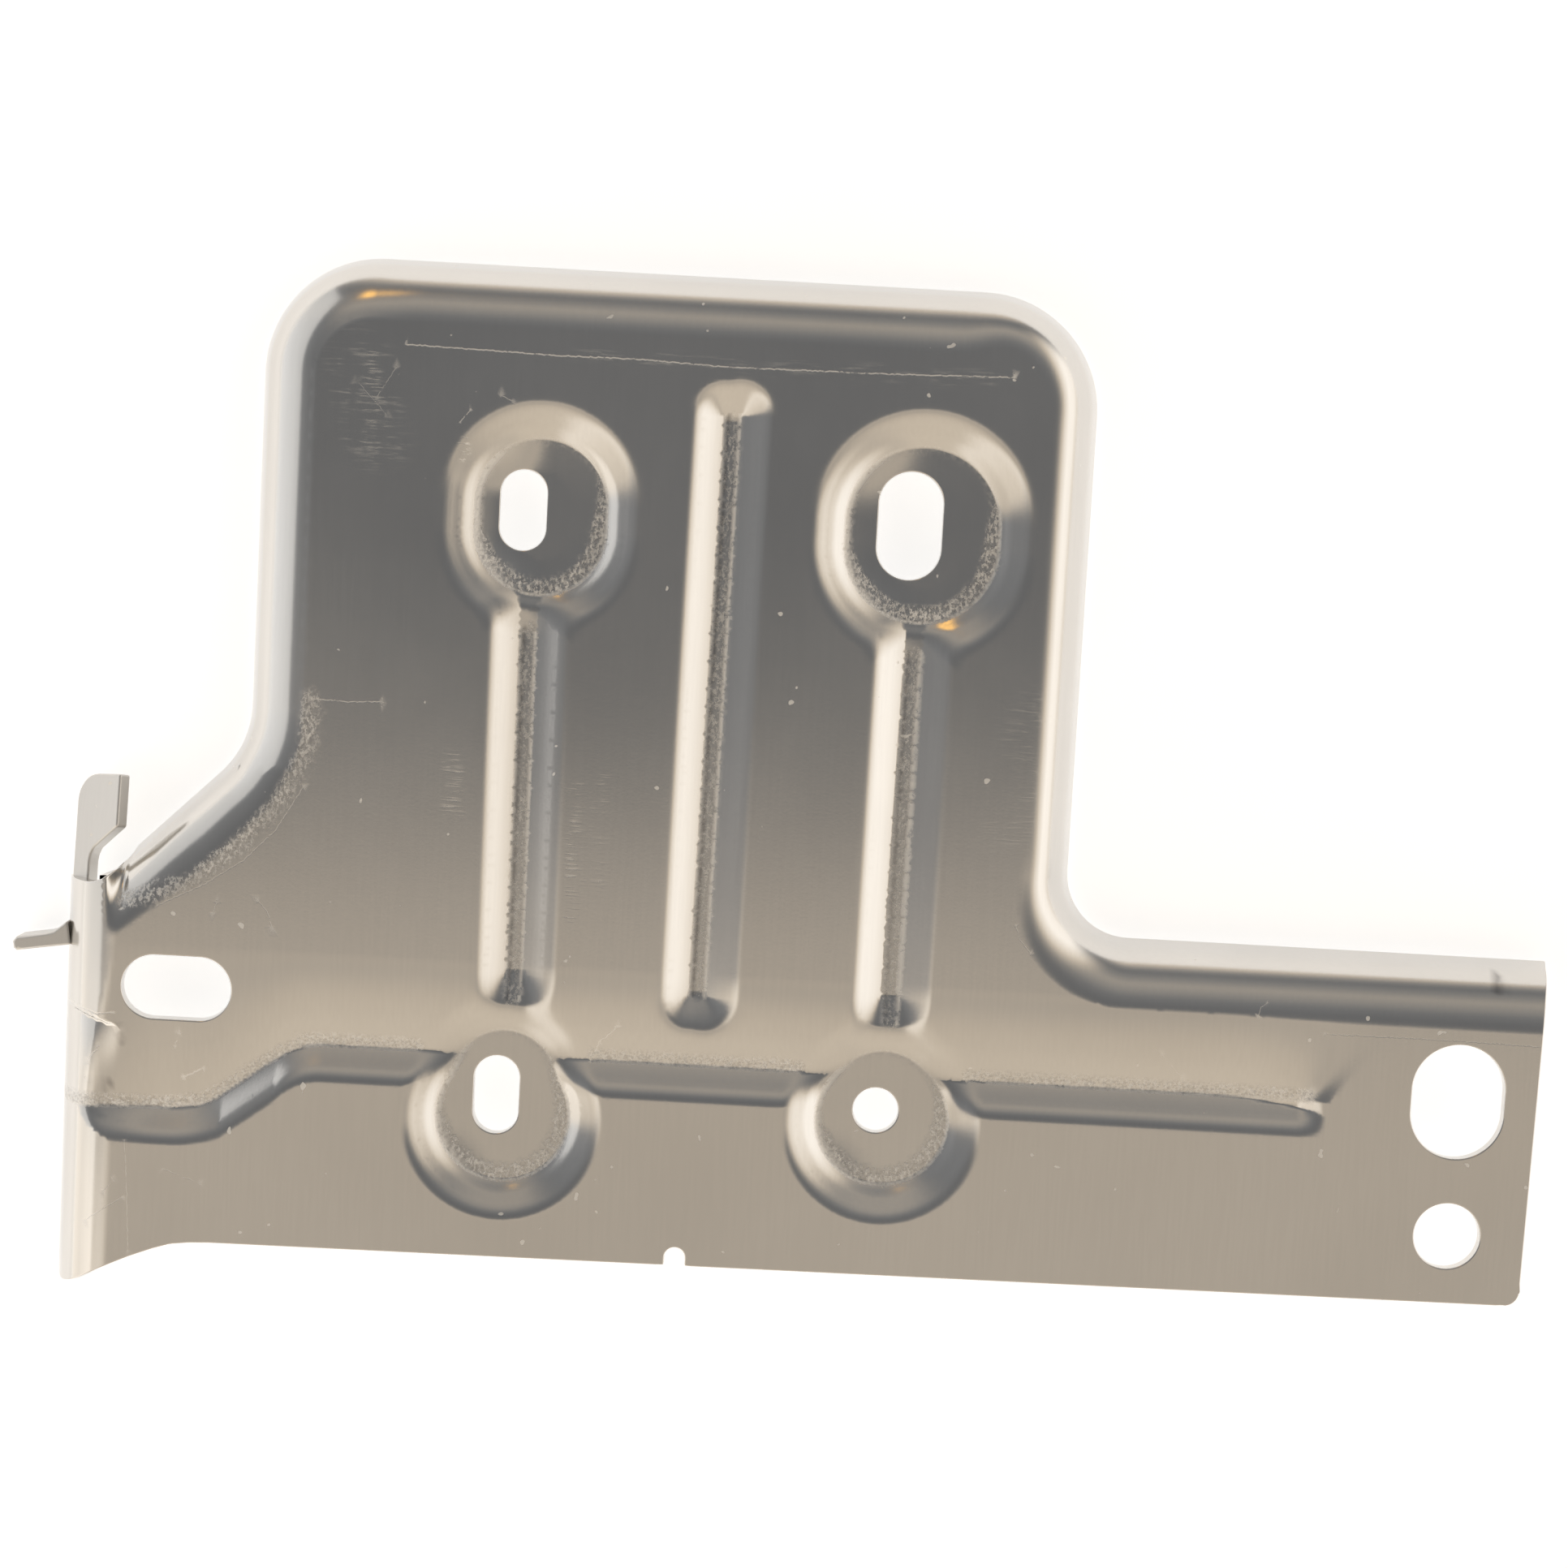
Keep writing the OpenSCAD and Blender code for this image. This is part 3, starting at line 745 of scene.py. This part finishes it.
def plate(name, poly, thick, frame_m, bevel=0.35):
    """A closed plate from a counter-clockwise outline, its edges rounded."""
    n = len(poly)
    vs = [(px * MM, py * MM, z * MM) for z in (0, thick) for px, py in poly]
    fs = [list(range(n))[::-1], list(range(n, 2 * n))]
    fs += [[i, (i + 1) % n, (i + 1) % n + n, i + n] for i in range(n)]
    me = bpy.data.meshes.new(name)
    me.from_pydata(vs, [], fs)
    me.update()
    me.transform(frame_m)
    ob = add_object(name, me)
    md = ob.modifiers.new("bevel", "BEVEL")
    md.width, md.segments, md.limit_method = bevel * MM, 3, "ANGLE"
    md.angle_limit = math.radians(50)
    md.harden_normals = True
    for q in me.polygons:
        q.use_smooth = True
    return ob


def turn(axis, deg):
    return Matrix.Rotation(math.radians(deg), 4, axis)


# --- Materials --------------------------------------------------------------------------------

METAL = (0.70, 0.68, 0.65)  # what the metal returns of the light, used to place the studio's tones


def nodes_of(mat):
    """An empty node tree."""
    mat.use_nodes = True
    nt = mat.node_tree
    for n in list(nt.nodes):
        nt.nodes.remove(n)
    return nt


class Graph:
    """Short calls for building a node tree."""

    def __init__(self, nt):
        self.nt = nt

    def new(self, kind, **props):
        n = self.nt.nodes.new(kind)
        for k, v in props.items():
            setattr(n, k, v)
        return n

    def link(self, a, b):
        self.nt.links.new(a, b)

    def put(self, socket, value):
        if hasattr(value, "is_output"):
            self.link(value, socket)
        else:
            socket.default_value = value

    def math(self, op, a, b=0.0, c=0.0):
        n = self.new("ShaderNodeMath", operation=op)
        self.put(n.inputs[0], a)
        self.put(n.inputs[1], b)
        self.put(n.inputs[2], c)
        return n.outputs[0]

    def range(self, v, a, b, c=0.0, d=1.0, smoothstep=True):
        kind = "SMOOTHSTEP" if smoothstep else "LINEAR"
        n = self.new("ShaderNodeMapRange", interpolation_type=kind)
        for i, x in enumerate((v, a, b, c, d)):
            self.put(n.inputs[i], x)
        return n.outputs[0]

    def noise(self, vec, scale, detail=2.0, rough=0.5):
        n = self.new("ShaderNodeTexNoise")
        self.put(n.inputs["Vector"], vec)
        n.inputs["Scale"].default_value = scale
        n.inputs["Detail"].default_value = detail
        n.inputs["Roughness"].default_value = rough
        return n.outputs["Fac"]

    def stretch(self, vec, scale):
        n = self.new("ShaderNodeMapping")
        self.put(n.inputs["Vector"], vec)
        n.inputs["Scale"].default_value = scale
        return n.outputs[0]

    def mix(self, fac, a, b):
        n = self.new("ShaderNodeMix", data_type="RGBA")
        colours = [i for i in n.inputs if i.type == "RGBA"]
        self.put(n.inputs["Factor"], fac)
        self.put(colours[0], a)
        self.put(colours[1], b)
        return n.outputs[2]


def metal_material(name="aluminium", extra_rough=0.0):
    """Bright pressed sheet, with galling, scratches, scuffs and stains, and a painted highlight and
    painted shade, from the wear layer.
    """
    mat = bpy.data.materials.new(name)
    nt = nodes_of(mat)
    g = Graph(nt)
    out = g.new("ShaderNodeOutputMaterial")
    bsdf = g.new("ShaderNodeBsdfPrincipled")
    g.link(bsdf.outputs[0], out.inputs[0])
    co = g.new("ShaderNodeTexCoord").outputs["Object"]
    sep = g.new("ShaderNodeSeparateColor")
    at = g.new("ShaderNodeAttribute", attribute_name="wear_and_painted_light")
    g.link(at.outputs["Color"], sep.inputs[0])
    gall, line_and_highlight, scuff = sep.outputs
    # alpha: stains, and painted shade along the grooves' bottoms
    stain_and_shade = at.outputs["Alpha"]

    # grain at several sizes, in cycles to the metre
    fine = g.noise(co, 2600.0, 3.0, 0.65)
    cloud = g.noise(co, 26.0, 4.0, 0.55)
    mid = g.noise(co, 420.0, 4.0, 0.6)
    drawn = g.noise(g.stretch(co, scale=(1.0, 0.05, 1.0)), 2200.0, 2.0, 0.5)
    cross = g.noise(g.stretch(co, scale=(0.08, 1.0, 1.0)), 2600.0, 3.0, 0.6)
    speck = g.range(g.noise(g.stretch(co, scale=(1.0, 0.6, 1.0)), 1900.0, 5.0, 0.75), 0.49, 0.60)
    patchy = g.range(g.noise(co, 230.0, 3.0, 0.6), 0.36, 0.62)

    marks = g.math("MULTIPLY", gall, g.math("MULTIPLY", speck, g.range(patchy, 0, 1, 0.45, 1.0)))
    # scratches and tool lines, and the painted highlight on the pads' left rims
    lines = g.math("MULTIPLY", line_and_highlight, g.range(g.noise(co, 900.0, 3.0, 0.7), 0.34, 0.50, 0.25, 1.0))
    dashes = g.math("MULTIPLY", scuff, g.math("MULTIPLY", g.range(cross, 0.5, 0.64), patchy))
    specks = g.math("MULTIPLY", g.range(g.noise(co, 520.0, 1.0, 0.5), 0.775, 0.80), 0.8)
    bright = g.math("MAXIMUM", g.math("MAXIMUM", marks, lines), g.math("MAXIMUM", dashes, specks))

    rough = g.math("MULTIPLY_ADD", cloud, 0.07, 0.12 + extra_rough)
    rough = g.math("MULTIPLY_ADD", fine, 0.04, rough)
    rough = g.math("MULTIPLY_ADD", gall, 0.10, rough)
    rough = g.math("MULTIPLY_ADD", bright, 0.34, rough)
    g.put(bsdf.inputs["Roughness"], rough)
    g.put(bsdf.inputs["Metallic"], g.math("MULTIPLY_ADD", bright, -0.5, 1.0))

    # stains, painted shade along the grooves' bottoms, and painted shade in the pits between the galled
    # specks
    dark = g.math("MULTIPLY", stain_and_shade, g.range(mid, 0.3, 0.6, 0.4, 1.0))
    dark = g.math("MAXIMUM", dark, g.math("MULTIPLY", gall, g.range(fine, 0.55, 0.40, 0.0, 0.28)))
    tint = g.mix(g.range(cloud, 0.3, 0.7), (0.685, 0.665, 0.635, 1), (0.72, 0.70, 0.67, 1))
    tint = g.mix(g.range(drawn, 0.35, 0.65, 0.0, 0.12), tint, (0.62, 0.60, 0.575, 1))
    # bright marks lighter in colour, the painted highlight on the pads' left rims among them
    tint = g.mix(g.math("MULTIPLY", bright, 0.85), tint, (0.97, 0.94, 0.89, 1))
    tint = g.mix(dark, tint, (0.16, 0.15, 0.15, 1))
    g.put(bsdf.inputs["Base Color"], tint)

    bump = g.new("ShaderNodeBump")
    bump.inputs["Strength"].default_value = 0.35
    bump.inputs["Distance"].default_value = 0.00003
    h = g.math("MULTIPLY_ADD", drawn, 0.16, g.math("MULTIPLY", fine, 0.22))
    h = g.math("MULTIPLY_ADD", mid, 0.25, h)
    h = g.math("MULTIPLY_ADD", g.math("MULTIPLY", gall, speck), 1.6, h)
    h = g.math("MULTIPLY_ADD", g.math("MAXIMUM", lines, dashes), -1.2, h)
    g.put(bump.inputs["Height"], h)
    g.link(bump.outputs[0], bsdf.inputs["Normal"])
    return mat


def floor_material():
    mat = bpy.data.materials.new("floor")
    nt = nodes_of(mat)
    g = Graph(nt)
    out = g.new("ShaderNodeOutputMaterial")
    bsdf = g.new("ShaderNodeBsdfPrincipled")
    g.link(bsdf.outputs[0], out.inputs[0])
    co = g.new("ShaderNodeTexCoord").outputs["Object"]
    n = g.noise(co, 60.0, 2.0, 0.5)
    g.put(bsdf.inputs["Base Color"], g.mix(n, (0.92, 0.92, 0.92, 1), (0.95, 0.95, 0.95, 1)))
    bsdf.inputs["Roughness"].default_value = 0.9
    bsdf.inputs["Specular IOR Level"].default_value = 0.1
    bsdf.inputs["Emission Color"].default_value = (1.0, 1.0, 1.0, 1)
    bsdf.inputs["Emission Strength"].default_value = 0.56
    return mat


# --- Light ---------------------------------------------------------------------------------------

def lin(v):
    """Linear light from a shade of 0 to 255 on the screen."""
    v /= 255.0
    return v / 12.92 if v <= 0.04045 else ((v + 0.055) / 1.055) ** 2.4


def world_light():
    """A studio of soft bands and cards, placed by their angle from the zenith along X and Y."""
    w = bpy.data.worlds.new("studio")
    bpy.context.scene.world = w
    w.use_nodes = True
    nt = nodes_of(w)
    g = Graph(nt)
    out = g.new("ShaderNodeOutputWorld")
    bg = g.new("ShaderNodeBackground")
    g.link(bg.outputs[0], out.inputs[0])
    co = g.new("ShaderNodeTexCoord").outputs["Generated"]
    sep = g.new("ShaderNodeSeparateXYZ")
    g.link(co, sep.inputs[0])
    x, y, z = sep.outputs
    flat = g.math("SQRT", g.math("ADD", g.math("MULTIPLY", x, x), g.math("MULTIPLY_ADD", y, y, 1e-6)))
    ang = g.math("DIVIDE", g.math("MULTIPLY", g.math("ARCCOSINE", z), 180 / math.pi), flat)
    ax, ay = g.math("MULTIPLY", ang, x), g.math("MULTIPLY", ang, y)

    def shade(v):
        """The light that the metal shows as shade v, warm in the middle tones."""
        warm = min(1.0, max(0.0, (v - 105) / 60)) * (1 - 0.6 * max(0.0, (v - 190) / 65))
        k = (1 + 0.06 * warm, 1 - 0.014 * warm, 1 - 0.115 * warm)
        return tuple(lin(min(255.0, v * q)) / q2 for q, q2 in zip(k, METAL)) + (1,)

    def ramp_of(value, stops, cool=False):
        """Shades along an angle in degrees."""
        lo, hi = stops[0][0], stops[-1][0]
        r = g.new("ShaderNodeValToRGB")
        els = r.color_ramp.elements
        while len(els) < len(stops):
            els.new(0.5)
        for e, (p, c) in zip(els, stops):
            e.position = (p - lo) / (hi - lo)
            e.color = tuple(lin(c) / q for q in METAL) + (1,) if cool else shade(c)
        g.link(g.range(value, lo, hi, smoothstep=False), r.inputs[0])
        return r.outputs[0]

    c = ramp_of(ay, [(-100, 186), (-60, 186), (-38, 181), (-26, 172), (-14, 155), (-11.5, 163),
                     (-10, 176), (-8.5, 172), (-6.8, 126), (-5, 96), (6, 98), (20, 110), (32, 132),
                     (44, 148), (56, 124), (68, 104), (76, 122), (88, 190), (100, 250)])
    # a bright wall on the right
    side = g.math("MULTIPLY", g.range(ax, 18, 46), g.range(ay, 75, 40))
    c = g.mix(side, c, ramp_of(ax, [(20, 130), (30, 152), (40, 190), (50, 222), (62, 248), (80, 242),
                                    (92, 196), (104, 165)]))
    # a dim one on the left, brighter towards the front
    side = g.math("MULTIPLY", g.range(ax, -22, -46), g.range(ay, 75, 35))
    c = g.mix(side, c, ramp_of(ax, [(-110, 195), (-80, 150), (-62, 118), (-30, 106)], True))
    side = g.math("MULTIPLY", g.range(ax, -13, -25), g.range(ay, -6, -18))
    c = g.mix(side, c, ramp_of(ax, [(-100, 205), (-72, 168), (-45, 206), (-30, 220), (-21, 204),
                                    (-13, 175)]))
    # an amber lamp low behind the top
    far = g.math("SQRT", g.math("ADD", g.math("POWER", g.math("ADD", ax, 21.0), 2.0),
                                g.math("POWER", g.math("ADD", ay, -60.0), 2.0)))
    c = g.mix(g.range(far, 6.5, 3.0), c, (2.2, 1.25, 0.35, 1))
    # a white floor below the horizon
    c = g.mix(g.range(z, 0.0, -0.12), c, (1.3, 1.3, 1.28, 1))
    g.link(c, bg.inputs[0])
    bg.inputs[1].default_value = 1.0


def area(name, loc, aim, size, power, color):
    """A card of light, turned towards a point."""
    d = bpy.data.lights.new(name, "AREA")
    d.shape = "RECTANGLE"
    d.size, d.size_y = size
    d.energy = power
    d.color = color
    o = add_object(name, d)
    o.location = loc
    o.rotation_euler = (Vector(aim) - Vector(loc)).to_track_quat("-Z", "Y").to_euler()


# --- Scene ------------------------------------------------------------------------------------

v, nn, f, wear_and_painted_light = build_sheet()
sheet = make_mesh("sheet", v, f, nn)
# the wear layer also holds the painted highlight and painted shade of the outer surface
layer = sheet.data.attributes.new("wear_and_painted_light", "FLOAT_COLOR", "POINT")
layer.data.foreach_set("color", wear_and_painted_light.ravel())
sheet.data.materials.append(metal_material())
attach(sheet, "root")
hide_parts("brace")

# the ear leans out from the wall's top, and the foot tab stands on its edge
lean = Matrix.Translation(Vector((WALL - RIM + 0.9, WALL_TOP, -2.78)) * MM)
lean = lean @ turn("X", -8) @ turn("Y", -36) @ Matrix.Translation((0, 0, -T * MM))
EAR = [(0, -9), (3.4, -9), (3.4, 2.2), (3.6, 3.2), (4.2, 4.2), (5.4, 5.0), (9.0, 7.4), (9.0, 15)]
EAR += [(4 - 4 * math.sin(a * math.pi / 16), 11 + 4 * math.cos(a * math.pi / 16)) for a in range(9)]
ear = plate("ear", EAR, T, lean)
tab_m = Matrix.Translation(Vector((WALL - RIM, 18.1, -5.88)) * MM) @ turn("Z", 9.3)
TAB = [(-7.0, -0.6), (-6.6, -1), (1.4, -1), (1.4, 2.6), (0.3, 1.9), (-0.9, 1.2), (-2.2, 1),
       (-6.4, 1), (-7.0, 0.4)]
tab = plate("foot_tab", TAB, 5.4, tab_m)
sheared = metal_material("sheared_aluminium", 0.3)
for piece in (ear, tab):
    layer = piece.data.attributes.new("wear_and_painted_light", "FLOAT_COLOR", "POINT")
    layer.data.foreach_set("color", [0.0] * (4 * len(piece.data.vertices)))
    piece.data.materials.append(sheared)
    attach(piece, "root")

floor_z = CAD_BOX[0][2]
me = bpy.data.meshes.new("floor")
corners = ((-3, -3), (3, -3), (3, 3), (-3, 3))
me.from_pydata([(px, py, floor_z) for px, py in corners], [], [(0, 1, 2, 3)])
me.materials.append(floor_material())
floor = add_object("floor", me)

world_light()
area("card", (-0.175, 0.05, 0.032), (0, 0.05, 0.032), (0.40, 0.062), 0.042, (1.0, 0.985, 0.96))

# the photo's camera: 3500 pixels of focal length on a frame of 1932, rolled and pitched a little
cam_data = bpy.data.cameras.new("camera")
cam_data.sensor_width = 36.0
cam_data.lens = 36.0 * 3500 / 1932
cam = add_object("camera", cam_data)
roll, pitch = math.radians(3.2), math.radians(5.4)
right0, up0 = Vector((1, 0, 0)), Vector((0, math.cos(pitch), -math.sin(pitch)))
rt = right0 * math.cos(roll) + up0 * math.sin(roll)
up = -right0 * math.sin(roll) + up0 * math.cos(roll)
bk = Vector((0, math.sin(pitch), math.cos(pitch)))
cam.matrix_world = Matrix(((rt.x, up.x, bk.x, -0.01599), (rt.y, up.y, bk.y, 0.08557),
                           (rt.z, up.z, bk.z, 0.41017), (0, 0, 0, 1)))
bpy.context.scene.camera = cam
bpy.context.scene.view_settings.view_transform = "Standard"
